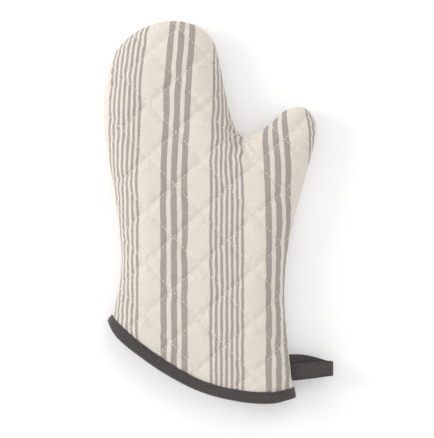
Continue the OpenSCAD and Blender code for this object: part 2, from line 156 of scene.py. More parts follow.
def within(p, loop):
    """Whether each point lies inside the closed polyline."""
    p, odd = np.asarray(p, float), np.zeros(len(p), bool)
    for a, b in zip(loop, np.roll(loop, -1, 0)):
        if a[1] == b[1]:
            continue
        cross = (a[1] > p[:, 1]) != (b[1] > p[:, 1])
        odd ^= cross & (p[:, 0] < a[0] + (b[0] - a[0]) * (p[:, 1] - a[1]) / (b[1] - a[1]))
    return odd


CUFF_FINE = spline(CUFF_EDGE, np.linspace(0, CUFF_END, 141))
LINE_FINE = spline(CUFF_LINE, np.linspace(0, CUFF_END, 141))


def above_cuff(p):
    """How far each point lies above the binding's upper edge."""
    return p[:, 1] - np.interp(p[:, 0], LINE_FINE[:, 0], LINE_FINE[:, 1])


def squeeze(p):
    """1 at the cuff, fading to 0 at CUFF_REACH above it."""
    return np.maximum(0, 1 - np.maximum(0, above_cuff(p)) / CUFF_REACH) ** 2


def ell(d, run):
    """A quarter ellipse: 0 at d = 0, 1 from d = run on."""
    k = np.clip(d / run, 0, 1)
    return np.sqrt(1 - (1 - k) ** 2)


def height(p, d, t, side):
    """Height of the mitt's surface at depth t for points whose seam distance is d."""
    if side > 0:
        return SEAM_Z + (FRONT_RISE - CUFF_DROP * squeeze(p) - t) * ell(d - t, FRONT_RUN - t)
    return SEAM_Z - (BACK_RISE - CUFF_LIFT * squeeze(p) - t) * ell(d - t, BACK_RUN - t)


# ---- quilting ----------------------------------------------------------
def quilt_family(degrees, pitch, shift):
    """One family of parallel lines: its direction, the square to it, the pitch and the first line's place."""
    angle = math.radians(degrees)
    along = np.array([math.cos(angle), math.sin(angle)])
    return along, np.array([-along[1], along[0]]), pitch, shift


FAMILIES = [quilt_family(-46.4, 31.8, -11.3), quilt_family(41.7, 32.9, 9.0)]


def quilt_place(p):
    """For each family: signed distance to the nearest line, its number, and the place along it."""
    out = []
    for along, square, pitch, shift in FAMILIES:
        q = (p @ square - shift) / pitch
        n = np.round(q)
        out.append(((q - n) * pitch, n, p @ along))
    return out


def waves(seed, scale, count=26, low=0.6, high=1.7):
    """A smooth seeded noise of two coordinates, about -1 to 1, whose bumps are about scale wide."""
    r = np.random.default_rng(seed)
    k = 2 * math.pi / (2 * scale * r.uniform(low, high, count))
    angle, phase = r.uniform(0, 2 * math.pi, count), r.uniform(0, 2 * math.pi, count)
    size = r.uniform(0.5, 1, count)
    size /= np.sqrt((size**2).sum() / 2) * 1.6
    return lambda x, y: sum(
        s * np.sin(w * (x * math.cos(a) + y * math.sin(a)) + f)
        for w, a, f, s in zip(k, angle, phase, size))


# ---- the flat domain ---------------------------------------------------
# The thumb parts from the hand along the line from the crotch to the thumb's foot; AWAY points to the thumb
FOLD = unit(THUMB_FOOT - CROTCH)
AWAY = np.array([-FOLD[1], FOLD[0]])
if AWAY[0] < 0:
    AWAY = -AWAY
SPLIT_LONG = np.linalg.norm(THUMB_FOOT - CROTCH)
ON_SEAM = 0.05


def away_from_split(p):
    k = np.clip((p - CROTCH) @ FOLD, 0, SPLIT_LONG)
    return np.linalg.norm(p - CROTCH - k[:, None] * FOLD, axis=1)


def thumb_side(p):
    return ((p - CROTCH) @ AWAY > 0) & (p[:, 0] > CROTCH[0])


def outline(rings, step):
    """The panel's rim about every step: seam points and their places, the cuff's two ends, and its edge."""
    s_fine = np.linspace(0, SEAM_END, int(SEAM_END * 13 / step))
    gaps = np.linalg.norm(np.diff(spline(SEAM, s_fine), axis=0), axis=1)
    run = np.concatenate([[0], np.cumsum(gaps)])
    s_even = np.interp(np.linspace(0, run[-1], int(run[-1] / step) + 1), run, s_fine)
    for fixed in (CROTCH_AT, FOOT_AT):
        s_even[np.abs(s_even - fixed).argmin()] = fixed
    n_band = max(4, int(BAND_W / step))
    low = EDGE_SHORT / BAND_W
    down = range(1, n_band)
    right = [CUFF_LINE[-1] + (CUFF_EDGE[-1] - CUFF_LINE[-1]) * (1 - low) * k / n_band for k in down]
    left = [CUFF_LINE[0] + (CUFF_EDGE[0] - CUFF_LINE[0]) * (1 - low) * k / n_band for k in reversed(down)]
    # Beside the side seam the cuff's edge is sampled at the rings' distances
    near, clear = np.array(rings), rings[-1] + 0.6 * step
    first, last = np.linalg.norm(CUFF_EDGE[1] - CUFF_EDGE[0]), np.linalg.norm(CUFF_EDGE[-1] - CUFF_EDGE[-2])
    u = np.linspace(CUFF_END, 0, int(200 / step))
    u = u[(u < CUFF_END - clear / last) & (u > clear / first)]
    u = np.concatenate([[CUFF_END], CUFF_END - near / last, u, near[::-1] / first, [0]])
    edge = spline(CUFF_EDGE, u) * (1 - low) + spline(CUFF_LINE, u) * low
    return spline(SEAM, s_even), s_even, right, edge, left


def quilt_grid(divisions, rim, edge, clear, step):
    """Points on the quilting lines and on their even divisions, clear of the rim, the rings and the split."""
    (_, n1, p1, c1), (_, n2, p2, c2) = FAMILIES
    steps = np.arange(-9 * divisions, 9 * divisions)
    i, j = np.meshgrid(steps, steps)
    rhs = np.stack([c1 + i.ravel() * p1 / divisions, c2 + j.ravel() * p2 / divisions])
    grid = np.linalg.solve(np.stack([n1, n2]), rhs).T
    grid = grid[within(grid, rim)]
    edge_gap = np.min([np.linalg.norm(grid - q, axis=1) for q in edge], axis=0)
    far = (seam_distance(grid)[0] > clear) & (away_from_split(grid) > 0.55 * step)
    return grid[far & (edge_gap > 0.6 * step)]


def triangulate(flat, edges, rim):
    """Constrained Delaunay triangles inside the rim, all turned upwards, and the points they use."""
    out = delaunay_2d_cdt([Vector(q) for q in flat], edges, [], 0, 1e-4)
    p = np.array([tuple(v) for v in out[0]])
    tri = np.array([list(f) for f in out[2]])
    area = np.cross(p[tri[:, 1]] - p[tri[:, 0]], p[tri[:, 2]] - p[tri[:, 0]])
    keep = within(p[tri].mean(1), rim) & (np.abs(area) > 1e-5)
    tri, area = tri[keep], area[keep]
    tri[area < 0] = tri[area < 0][:, ::-1]
    used, tri = np.unique(tri, return_inverse=True)
    return p[used], tri.reshape(-1, 3)


def softened(d, links, step):
    """The seam distance with its ridge line smoothed away, for a rounded section."""
    soft, weight = d.copy(), smooth(d, 6, 15)
    degree = np.bincount(links.ravel(), minlength=len(d))
    a, b = links.T
    for _ in range(int(90 * (2 / step) ** 2)):
        around = np.bincount(a, soft[b], len(d)) + np.bincount(b, soft[a], len(d))
        soft += weight * (around / degree - soft)
    return soft


def inner_way(p, d, way):
    """Direction into the mitt at each point, safe on the seam itself."""
    bare = d < ON_SEAM
    at = [np.linalg.norm(SIDE[1:-1] - q, axis=1).argmin() for q in p[bare]]
    way[bare] = inward(SEAM_S[at])
    return way


def domain(divisions, rings, step):
    """A triangulated plan of one panel, with each point's seam distance and way, and the thumb's triangles."""
    seam, s_even, right, edge, left = outline(rings, step)
    rim = np.vstack([seam, right, edge, left])
    points, edges = [rim], [(i, (i + 1) % len(rim)) for i in range(len(rim))]
    a, b = (int(np.flatnonzero(s_even == fixed)[0]) for fixed in (CROTCH_AT, FOOT_AT))
    n = int(SPLIT_LONG / step)
    points.append(CROTCH + (THUMB_FOOT - CROTCH) * (np.arange(1, n) / n)[:, None])
    ids = [a] + list(range(len(rim), len(rim) + n - 1)) + [b]
    edges += list(zip(ids[:-1], ids[1:]))
    for d in rings:
        ring = np.vstack([seam + d * inward(s_even), right + d * inward(SEAM_END), left + d * inward(0)])
        ok = (seam_distance(ring)[0] > 0.93 * d) & (away_from_split(ring) > 0.5 * step)
        points.append(ring[ok & (above_cuff(ring) > -BAND_W + 2)])
    points.append(quilt_grid(divisions, rim, edge, rings[-1] + 0.6 * step, step))
    p, tri = triangulate(np.vstack(points), edges, rim)
    d, way = seam_distance(p)
    d[d < ON_SEAM] = 0
    links = np.unique(np.sort(np.vstack([tri[:, [0, 1]], tri[:, [1, 2]], tri[:, [2, 0]]]), 1), axis=0)
    return {"p": p, "tri": tri, "d": d, "way": inner_way(p, d, way), "soft": softened(d, links, step),
            "thumb": thumb_side(p[tri].mean(1))}


# ---- relief of the quilted cloth ---------------------------------------
# Heights in millimetres: a diamond's swell, a line's pinch, the wrinkles beside it, slow waves, folds and gathers
SWELL, PINCH, RIPPLE, FINE_WAVE, SLOW_WAVE, FAN, GATHER = 0.3, 0.72, 0.3, 0.12, 0.4, 0.8, 0.3
DEEPEST = -1.9


def relief(p, d, seed):
    """How far the quilted cloth stands out from the smooth panel."""
    pinch, broad, ripple = np.zeros(len(p)), np.ones(len(p)), np.zeros(len(p))
    for k, (m, n, s) in enumerate(quilt_place(p)):
        width = 1.9 + 0.4 * np.sin(s / 23 + n)
        near = np.exp(-(np.abs(m) / width) ** 1.25)
        dash = 0.9 + 0.1 * np.cos(2 * math.pi * s / 3.9)
        pinch = 1 - (1 - pinch) * (1 - near * dash)
        broad *= np.abs(np.sin(math.pi * m / FAMILIES[k][2]))
        rough = waves(seed + 7 * k, 2.6)
        slant = 0.35 * np.sin(n * 2.1 + s / 40)
        ripple += rough(s + slant * np.abs(m), 31 * n + 0.18 * m) * np.exp(-np.abs(m) / 5.5) * (0.5 + 0.5 * near)
    calm = smooth(d, 0.5, 7)
    out = calm * (SWELL * broad**0.6 - PINCH * pinch + RIPPLE * ripple)
    out += FINE_WAVE * waves(seed + 20, 7)(p[:, 0], p[:, 1]) * calm
    out += SLOW_WAVE * waves(seed + 21, 34)(p[:, 0], p[:, 1]) * smooth(d, 4, 25)
    # Pulled folds that fan out from the crotch
    q = p - (CROTCH + (2, -3))
    r, angle = np.linalg.norm(q, axis=1), np.arctan2(q[:, 1], q[:, 0])
    fan = np.sin(9 * angle + 1.3 * np.sin(r / 6) + seed) + 0.6 * np.sin(16 * angle + seed + r / 9)
    out += FAN * fan * np.exp(-((r - 5) / 15) ** 2) * smooth(d, 0.6, 5)
    # Small gathers all along the side seam
    gather = waves(seed + 30, 3.2)(p[:, 0], p[:, 1]) * np.exp(-((d - 4) / 4.5) ** 2)
    return np.maximum(out + GATHER * gather, DEEPEST)


# ---- flat pattern coordinates ------------------------------------------
def extra_length(run, rise):
    """Over distances from the seam, how much longer the curved cloth is than its plan from there to the top."""
    d = np.linspace(0, run, 400)
    z = rise * ell(d, run)
    arc = np.concatenate([[0], np.cumsum(np.hypot(np.diff(d), np.diff(z)))])
    return d, (arc[-1] - arc) - (run - d)


def pattern(p, d, way, side, seed):
    """Where each point lies on the flat printed cloth, in millimetres."""
    at, extra = extra_length(FRONT_RUN, FRONT_RISE) if side > 0 else extra_length(BACK_RUN, BACK_RISE)
    flat = p - way * np.interp(d, at, extra)[:, None]
    x, y = flat[:, 0] / SX, flat[:, 1] / SY
    # The stripes lean a little to the right up the fingers, and to the left up the thumb
    fingers = np.interp(y, [30, 44, 70, 96, 122, 148, 175], [0, 0.2, 1.7, 2.6, 3.9, 6.5, 9])
    thumb = -np.interp(y, [-20, -8, 18, 44, 70, 86, 100], [0, 0.1, 0.9, 1.9, 4.2, 6.2, 7.5])
    lean = fingers + (thumb - fingers) * smooth(x, 12, 44)
    near = np.exp(-(((x - 19) / 17) ** 2 + ((y - 58) / 22) ** 2))
    lean += -2.0 * near
    wobble = 0.0
    for k, (m, n, s) in enumerate(quilt_place(p)):
        wobble = wobble + waves(seed + 40 + k, 6)(s, 40 * n + 0.2 * m) * np.exp(-np.abs(m) / 6)
    lean += 0.42 * wobble + 0.9 * near * waves(seed + 50, 6)(x, y) + 0.3 * waves(seed + 51, 22)(x, y)
    return np.stack([x - lean, y + 0.3 * waves(seed + 52, 15)(x, y)], 1)


# ---- meshes ------------------------------------------------------------
UV_MM = 100  # one unit of the pattern's UV layer


def point_normals(v, tri):
    n = np.cross(v[tri[:, 1]] - v[tri[:, 0]], v[tri[:, 2]] - v[tri[:, 0]])
    out = np.zeros_like(v)
    for k in range(3):
        np.add.at(out, tri[:, k], n)
    return unit(out)


def make(name, v, faces, uv=None, normals=None):
    """A mesh object from millimetre points; uv is one pattern place per point, in millimetres."""
    mesh = bpy.data.meshes.new(name)
    mesh.from_pydata((np.asarray(v) * MM).tolist(), [], [list(map(int, f)) for f in faces])
    if uv is not None:
        layer = mesh.uv_layers.new(name="pattern")
        loops = np.zeros(len(mesh.loops), np.int32)
        mesh.loops.foreach_get("vertex_index", loops)
        layer.data.foreach_set("uv", (np.asarray(uv)[loops] / UV_MM).astype(np.float32).ravel())
    mesh.polygons.foreach_set("use_smooth", [True] * len(mesh.polygons))
    if normals is not None:
        mesh.normals_split_custom_set_from_vertices([tuple(n) for n in normals])
    mesh.update()
    o = bpy.data.objects.new(name, mesh)
    bpy.context.scene.collection.objects.link(o)
    return o


CUFF_WAY = unit(CUFF_LINE[-1] - CUFF_LINE[0])
CUFF_WIDE = np.linalg.norm(CUFF_LINE[-1] - CUFF_LINE[0])


def slide(u):
    """Sideways step at the cuff for one millimetre of depth, u of the way across the mouth."""
    a, b = CUFF_WAY / (CUFF_WAY @ inward(0)[0]), -CUFF_WAY / (-CUFF_WAY @ inward(SEAM_END)[0])
    return (1 - u)[:, None] * a + u[:, None] * b


def bend_main(o):
    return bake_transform(o)


def bend_thumb(o):
    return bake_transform(o)


DRAW_IN = 30  # deeper layers are moved in up to this far from the seam


def surface(dom, t, side, bump=None):
    """The panel's points and triangles at depth t, with its relief added square to it."""
    p, d = dom["p"], dom["d"]
    soft = np.maximum(dom["soft"], 0)
    q = p.copy()
    if t > 0:
        # Deeper layers draw in from the seam, and at the cuff in line with its binding
        reach = np.maximum(t * (1 - d / DRAW_IN), 0)[:, None]
        low = smooth(-above_cuff(p), -16, -1)[:, None]
        u = np.clip((p - CUFF_LINE[0]) @ CUFF_WAY / CUFF_WIDE, 0, 1)
        q = p + (1 - low) * dom["way"] * reach + low * t * slide(u)
        soft = np.where(d < DRAW_IN, seam_distance(q)[0] + (soft - d), soft)
        soft = np.where(d == 0, t, np.maximum(soft, t))
    v = np.column_stack([q, height(q, soft, t, side)])
    tri = dom["tri"] if side > 0 else dom["tri"][:, ::-1]
    if bump is not None:
        n = point_normals(v, tri)
        v = v + n * bump[:, None]
    return v, tri


WORK_SCALE = 10  # Blender's cloth is steadier on a skin ten times larger
HOLD_LEAST = 0.02


def puff(v, tri, free, oversize=0.018, cap=0.55, frames=20):
    """Blow the skin up as oversize cloth held where free is 0, by at most cap millimetres."""
    o = make("skin_in_work", v * WORK_SCALE, tri)
    group = o.vertex_groups.new(name="held")
    for k, w in enumerate(1 - free):
        if w > HOLD_LEAST:
            group.add([k], float(w), "REPLACE")
    m = o.modifiers.new("cloth", "CLOTH")
    c = m.settings
    c.quality, c.mass = 6, 0.3
    c.tension_stiffness, c.compression_stiffness, c.shear_stiffness, c.bending_stiffness = 25, 12, 8, 0.35
    c.tension_damping, c.compression_damping, c.shear_damping = 8, 8, 8
    c.use_pressure, c.uniform_pressure_force = True, 4.0
    c.vertex_group_mass, c.pin_stiffness = "held", 1.5
    c.shrink_min = -oversize
    c.effector_weights.gravity = 0
    m.collision_settings.use_collision = False
    m.point_cache.frame_start, m.point_cache.frame_end = 1, frames
    for f in range(1, frames + 1):
        bpy.context.scene.frame_set(f)
    ready = o.evaluated_get(bpy.context.evaluated_depsgraph_get()).data
    co = np.empty(len(ready.vertices) * 3, np.float32)
    ready.vertices.foreach_get("co", co)
    bpy.context.scene.frame_set(1)
    mesh = o.data
    bpy.data.objects.remove(o)
    bpy.data.meshes.remove(mesh)
    move = co.reshape(-1, 3) / (WORK_SCALE * MM) - v
    size = np.linalg.norm(move, axis=1, keepdims=True)
    return v + move * np.minimum(1, cap / np.maximum(size, 1e-6)) * np.minimum(1, free * 4)[:, None]


def parts(dom):
    """The names of a panel's two objects, parted along the thumb's root, and the triangles of each."""
    return ("main", ~dom["thumb"]), ("thumb", dom["thumb"])


def halves(dom, v, tri, label, uv):
    """The panel as two objects that share their normals where they meet."""
    n = point_normals(v, tri)
    out = []
    for part, mask in parts(dom):
        used, faces = np.unique(tri[mask], return_inverse=True)
        out.append(make(f"{label}_{part}", v[used], faces.reshape(-1, 3), uv[used], n[used]))
    return out


# ---- materials ---------------------------------------------------------
class Nodes:
    """Short helper to wire one procedural material."""

    def __init__(self, name):
        self.m = bpy.data.materials.new(name)
        self.m.use_nodes = True
        self.t = self.m.node_tree
        self.t.nodes.clear()
        self.out = self.t.nodes.new("ShaderNodeOutputMaterial")
        self.bsdf = self.t.nodes.new("ShaderNodeBsdfPrincipled")
        self.t.links.new(self.bsdf.outputs[0], self.out.inputs["Surface"])

    def add(self, kind, **values):
        n = self.t.nodes.new(kind)
        for k, v in values.items():
            setattr(n, k, v)
        return n

    def put(self, value, socket):
        if isinstance(value, bpy.types.NodeSocket):
            self.t.links.new(value, socket)
        else:
            socket.default_value = value

    def math(self, op, *args, clamp=False):
        n = self.add("ShaderNodeMath", operation=op, use_clamp=clamp)
        for k, a in enumerate(args):
            self.put(a, n.inputs[k])
        return n.outputs[0]

    def noise(self, vector, scale, detail=2.0, rough=0.5):
        n = self.add("ShaderNodeTexNoise", noise_dimensions="3D")
        self.put(vector, n.inputs["Vector"])
        self.put(scale, n.inputs["Scale"])
        self.put(detail, n.inputs["Detail"])
        self.put(rough, n.inputs["Roughness"])
        return n.outputs["Fac"]

    def scaled(self, vector, size):
        n = self.add("ShaderNodeVectorMath", operation="MULTIPLY")
        self.put(vector, n.inputs[0])
        self.put(size, n.inputs[1])
        return n.outputs[0]

    def mix(self, fac, a, b):
        n = self.add("ShaderNodeMix", data_type="RGBA")
        self.put(fac, n.inputs[0])
        self.put(a, n.inputs[6])
        self.put(b, n.inputs[7])
        return n.outputs[2]

    def range(self, value, lo, hi, a=0.0, b=1.0, soft=True):
        n = self.add("ShaderNodeMapRange", interpolation_type="SMOOTHSTEP" if soft else "LINEAR")
        for k, x in enumerate((value, lo, hi, a, b)):
            self.put(x, n.inputs[k])
        return n.outputs[0]

    def bump(self, height, strength, distance, normal=None):
        n = self.add("ShaderNodeBump")
        self.put(strength, n.inputs["Strength"])
        self.put(distance, n.inputs["Distance"])
        self.put(height, n.inputs["Height"])
        if normal is not None:
            self.put(normal, n.inputs["Normal"])
        return n.outputs[0]

    def pattern_mm(self):
        """The place on the flat cloth in millimetres: the vector, across the stripes and along them."""
        uv = self.add("ShaderNodeUVMap", uv_map="pattern").outputs[0]
        mm = self.scaled(uv, (UV_MM, UV_MM, UV_MM))
        split = self.add("ShaderNodeSeparateXYZ")
        self.put(mm, split.inputs[0])
        return mm, split.outputs[0], split.outputs[1]

    def cloth(self, color, normal, rough, sheen):
        b = self.bsdf.inputs
        self.put(color, b["Base Color"])
        self.put(normal, b["Normal"])
        b["Roughness"].default_value = rough
        b["Specular IOR Level"].default_value = 0.25
        b["Sheen Weight"].default_value = sheen
        b["Sheen Roughness"].default_value = 0.55
        b["Sheen Tint"].default_value = (1, 1, 1, 1)
        return self.m


def weave(n, u, v, pitch):
    """Height of a plain weave: warp and weft threads passing over each other."""
    a = n.math("MULTIPLY", u, 2 * math.pi / pitch)
    b = n.math("MULTIPLY", v, 2 * math.pi / pitch)
    over = n.math("MULTIPLY", n.math("SINE", a), n.math("SINE", b))
    ribs = n.math("ADD", n.math("ABSOLUTE", n.math("COSINE", n.math("MULTIPLY", a, 0.5))),
                  n.math("ABSOLUTE", n.math("COSINE", n.math("MULTIPLY", b, 0.5))))
    return n.math("ADD", n.math("MULTIPLY", over, 0.5), ribs), over


CREAM = (0.765, 0.70, 0.622, 1)
GREY = (0.222, 0.194, 0.180, 1)
CHARCOAL = (0.036, 0.029, 0.030, 1)
# The stripes repeat every PERIOD millimetres: three wide ones about -STRIPE_SHIFT and seven thin ones
# half a period on. A stripe lies at every second half pitch.
PERIOD, STRIPE_SHIFT = 90.2, 37.8
WIDE_HALF_PITCH, WIDE_REACH = 4.5, 13.5
THIN_HALF_PITCH, THIN_REACH = 2.24, 15.68
WEAVE_PITCH, TWILL_PITCH = 0.62, 1.45


def striped_cotton():
    n = Nodes("striped_cotton")
    mm, u, v = n.pattern_mm()
    # Yarns wander a little, more along the stripe than across it
    drift = n.noise(n.scaled(mm, (0.5, 0.12, 1)), 1.0, 3.0)
    jag = n.noise(n.scaled(mm, (3.0, 1.3, 1)), 1.0, 1.0)
    u2 = n.math("ADD", u, n.math("MULTIPLY", n.math("SUBTRACT", drift, 0.5), 0.5))
    u2 = n.math("ADD", u2, n.math("MULTIPLY", n.math("SUBTRACT", jag, 0.5), 0.45))
    # q and r are the distances from the middles of the nearest wide and thin groups
    q = n.math("FRACT", n.math("DIVIDE", n.math("ADD", u2, STRIPE_SHIFT + PERIOD / 2 + 10 * PERIOD), PERIOD))
    q = n.math("ABSOLUTE", n.math("MULTIPLY", n.math("SUBTRACT", q, 0.5), PERIOD))
    wide = n.range(n.math("PINGPONG", q, WIDE_HALF_PITCH), 2.4, 2.85, 1.0, 0.0)
    wide = n.math("MULTIPLY", wide, n.math("LESS_THAN", q, WIDE_REACH))
    r = n.math("SUBTRACT", PERIOD / 2, q)
    thin = n.range(n.math("PINGPONG", r, THIN_HALF_PITCH), 1.0, 1.4, 1.0, 0.0)
    thin = n.math("MULTIPLY", thin, n.math("LESS_THAN", r, THIN_REACH))
    stripe = n.math("MAXIMUM", wide, thin)
    height, over = weave(n, u, v, WEAVE_PITCH)
    # The cream weft shows between the grey warp threads
    fleck = n.range(over, -0.6, 0.9, 0.76, 1.0)
    slant = n.math("ADD", u, n.math("MULTIPLY", v, 1.15))
    ribs = n.math("SINE", n.math("MULTIPLY", slant, 2 * math.pi / TWILL_PITCH))
    twill = n.range(ribs, 0.1, 0.95, 1.0, 0.74)
    speck = n.noise(n.scaled(mm, (1.15, 0.95, 1)), 1.0, 2.0, 0.7)
    slub = n.noise(n.scaled(mm, (1.9, 0.16, 1)), 1.0, 2.0)
    slub_x = n.noise(n.scaled(mm, (0.16, 1.9, 1)), 1.0, 2.0)
    cloudy = n.noise(n.scaled(mm, (0.05, 0.05, 1)), 1.0, 4.0)
    pale = n.mix(n.range(cloudy, 0.3, 0.7), CREAM, (0.79, 0.722, 0.638, 1))
    pale = n.mix(n.math("MULTIPLY", n.range(slub_x, 0.35, 0.75), 0.35), pale, (0.82, 0.765, 0.70, 1))
    pale = n.mix(n.range(speck, 0.46, 0.62, 0.0, 0.75), pale, (0.605, 0.535, 0.46, 1))
    dark = n.mix(n.range(slub, 0.3, 0.75), GREY, (0.268, 0.236, 0.219, 1))
    dark = n.mix(n.range(speck, 0.38, 0.56, 0.6, 0.0), dark, (0.42, 0.38, 0.35, 1))
    color = n.mix(n.math("MULTIPLY", stripe, n.math("MULTIPLY", fleck, twill)), pale, dark)
    threads = n.math("ADD", n.math("MULTIPLY", slub, 0.8), n.math("MULTIPLY", slub_x, 0.8))
    normal = n.bump(n.math("ADD", height, threads), 0.55, 0.00007)
    rumple = n.noise(n.scaled(mm, (0.28, 0.28, 1)), 1.0, 3.0, 0.55)
    normal = n.bump(rumple, 0.5, 0.0006, normal)
    return n.cloth(color, normal, 0.93, 0.18)


def plain_cloth(name, color, other, fleck, pitch, depth):
    n = Nodes(name)
    mm, u, v = n.pattern_mm()
    height, over = weave(n, u, v, pitch)
    patches = n.noise(n.scaled(mm, (0.35, 0.35, 1)), 1.0, 4.0, 0.6)
    shade = n.mix(n.range(patches, 0.25, 0.75), color, other)
    shade = n.mix(n.range(over, -1.0, 1.0, 0.0, 0.4), shade, other)
    speck = n.noise(n.scaled(mm, (1.2, 1.2, 1)), 1.0, 2.0, 0.7)
    shade = n.mix(n.range(speck, 0.47, 0.63, 0.0, 0.7), shade, fleck)
    normal = n.bump(n.math("ADD", height, n.math("MULTIPLY", patches, 2.0)), 0.6, depth)
    return n.cloth(shade, normal, 0.93, 0.2)


def thread_material(name, color, other):
    n = Nodes(name)
    where = n.add("ShaderNodeTexCoord").outputs["Object"]
    twist = n.add("ShaderNodeTexWave", wave_type="BANDS", bands_direction="DIAGONAL")
    n.put(where, twist.inputs["Vector"])
    twist.inputs["Scale"].default_value = 900
    twist.inputs["Distortion"].default_value = 1.5
    speck = n.noise(where, 1400, 1.0)
    shade = n.mix(n.math("MULTIPLY", twist.outputs["Fac"], 0.6), color, other)
    normal = n.bump(n.math("ADD", twist.outputs["Fac"], speck), 0.4, 0.00008)
    return n.cloth(shade, normal, 0.75, 0.1)


def wadding_material():
    n = Nodes("wadding")
    where = n.add("ShaderNodeTexCoord").outputs["Object"]
    fibre = n.noise(n.scaled(where, (900, 300, 900)), 1.0, 4.0, 0.7)
    shade = n.mix(fibre, (0.80, 0.79, 0.76, 1), (0.92, 0.91, 0.89, 1))
    return n.cloth(shade, n.bump(fibre, 0.8, 0.0004), 0.97, 0.4)


STRIPED = striped_cotton()
LINING = plain_cloth("lining_cotton", (0.70, 0.63, 0.53, 1), (0.76, 0.69, 0.60, 1), (0.64, 0.57, 0.47, 1),
                     0.5, 0.00008)
TAPE = plain_cloth("charcoal_tape", CHARCOAL, (0.053, 0.044, 0.045, 1), (0.17, 0.155, 0.15, 1), 0.55, 0.0001)
CREAM_THREAD = thread_material("cream_thread", (0.87, 0.83, 0.77, 1), (0.79, 0.74, 0.67, 1))
DARK_THREAD = thread_material("charcoal_thread", (0.045, 0.039, 0.037, 1), (0.075, 0.066, 0.062, 1))
WADDING = wadding_material()


def finish_piece(o, material, nodes=(), bend=None, body=None):
    o.data.materials.append(material)
    if bend:
        bend(o)
    else:
        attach(o, body)
    if nodes:
        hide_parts(*nodes)
    return o


def lowest_near(skin, points, reach, side):
    """For each point, how near the seam's level the skin comes within reach of it."""
    tree = KDTree(len(skin))
    for k, q in enumerate(skin):
        tree.insert((q[0], q[1], 0), k)
    tree.balance()
    out = points[:, 2].copy()
    for k, q in enumerate(points):
        near = [n[1] for n in tree.find_range((q[0], q[1], 0), reach)]
        if near:
            out[k] = side * (side * skin[near, 2]).min()
    return out


# ---- panels ------------------------------------------------------------
FINE = domain(21, [0.35, 0.9, 1.7, 2.8, 4.1, 5.6, 7.2], 1.6)
COARSE = domain(6, [0.4, 1.1, 2.2, 3.8, 6.0, 9.0], 5.2)
BODIES = {"main": ("palm", "fingers"), "thumb": ("thumb",)}
BENDS = {"main": bend_main, "thumb": bend_thumb}
# How far the seam's edge turns in, and how wide a strip turns with it
LIP, LIP_WIDE = 1.1, 0.9
# The wadding's depth below the outer face and above the inner one, and its least thickness
PAD_TOP, PAD_BOTTOM, PAD_LEAST = 1.5, 0.9, 0.35
# It stays this far under the skin's lowest place within this reach
SKIN_CLEAR, SKIN_REACH = 0.6, 4.6


def tuck(dom, v):
    """Turn the cloth's edge in at the side seam, so two rounded lips meet in a groove."""
    pull = LIP * np.maximum(0, 1 - dom["d"] / LIP_WIDE) ** 1.5
    v[:, :2] += dom["way"] * pull[:, None]
    return v


def finish_cloth(dom, v, tri, face, layer, uv, material):
    """One cloth as its two objects, with their material, and the CAD nodes of their bodies hidden."""
    for o, (part, mask) in zip(halves(dom, v, tri, f"{face}_{layer}", uv), parts(dom)):
        finish_piece(o, material, [f"{b}_{face}_{layer}" for b in BODIES[part]], BENDS[part])


def outer_cloth(face, side, seed):
    """The striped cloth: pinched at the quilting, flat under the binding, puffed by the cloth simulation."""
    p, d = FINE["p"], FINE["d"]
    bump, over = relief(p, d, seed), above_cuff(p)
    flat = np.minimum(bump, 0.25) * smooth(over, -6, 3) - 0.35 * (1 - smooth(over, -2, 3))
    v, tri = surface(FINE, 0.0, side, np.where(over < 3, flat, bump))
    lines = np.min([np.abs(m) for m, _, _ in quilt_place(p)], axis=0)
    free = smooth(lines, 0.3, 2.4) * smooth(d, 1.5, 6) * smooth(over, 1, 6)
    v = tuck(FINE, puff(v, tri, free))
    if side < 0:
        v[:, 2] = np.maximum(v[:, 2], SOLE_CLEAR)
    uv = pattern(p, d, FINE["way"], side, 5 + seed)
    finish_cloth(FINE, v, tri, face, "outer", uv, STRIPED)
    return v, tri


def lining_cloth(face, side, seed):
    """The lining: the same panel at full depth, with calmer relief."""
    p, d = COARSE["p"], COARSE["d"]
    calm = 0.35 * relief(p, d, seed + 3)
    v, tri = surface(COARSE, PANEL_T, side)
    v = v + point_normals(v, tri) * np.clip(calm, -0.5, 0.3)[:, None]
    uv = pattern(p, d, COARSE["way"], side, seed)
    finish_cloth(COARSE, v, tri[:, ::-1], face, "lining", uv, LINING)


def wadding_pads(face, side, skin):
    """The wadding: closed pads between the two cloths, kept under the skin's lowest places."""
    hi, tri = surface(COARSE, PAD_TOP, side)
    lo, _ = surface(COARSE, PANEL_T - PAD_BOTTOM, side)
    under_skin = lowest_near(skin, hi, SKIN_REACH, side) - side * SKIN_CLEAR
    hi[:, 2] = side * np.minimum(side * hi[:, 2], side * under_skin)
    hi[:, 2] = side * np.maximum(side * hi[:, 2], side * lo[:, 2] + PAD_LEAST)
    for part, mask in parts(COARSE):
        used, faces = np.unique(tri[mask], return_inverse=True)
        faces = faces.reshape(-1, 3)
        k = len(used)
        directed = {tuple(x) for x in np.vstack([faces[:, [0, 1]], faces[:, [1, 2]], faces[:, [2, 0]]]).tolist()}
        rim = [(a, b) for a, b in directed if (b, a) not in directed]
        solid = [list(f) for f in faces] + [[f[2] + k, f[1] + k, f[0] + k] for f in faces]
        solid += [[b, a, a + k, b + k] for a, b in rim]
        o = make(f"{face}_wadding_{part}", np.vstack([hi[used], lo[used]]), solid)
        finish_piece(o, WADDING, [f"{b}_{face}_wadding" for b in BODIES[part]], BENDS[part])


FACES = {"front": (1, 11), "back": (-1, 57)}  # each face's side of the seam, and its seed
SKINS = {}
for face, (side, seed) in FACES.items():
    SKINS[face] = outer_cloth(face, side, seed)
    lining_cloth(face, side, seed)
    wadding_pads(face, side, SKINS[face][0])


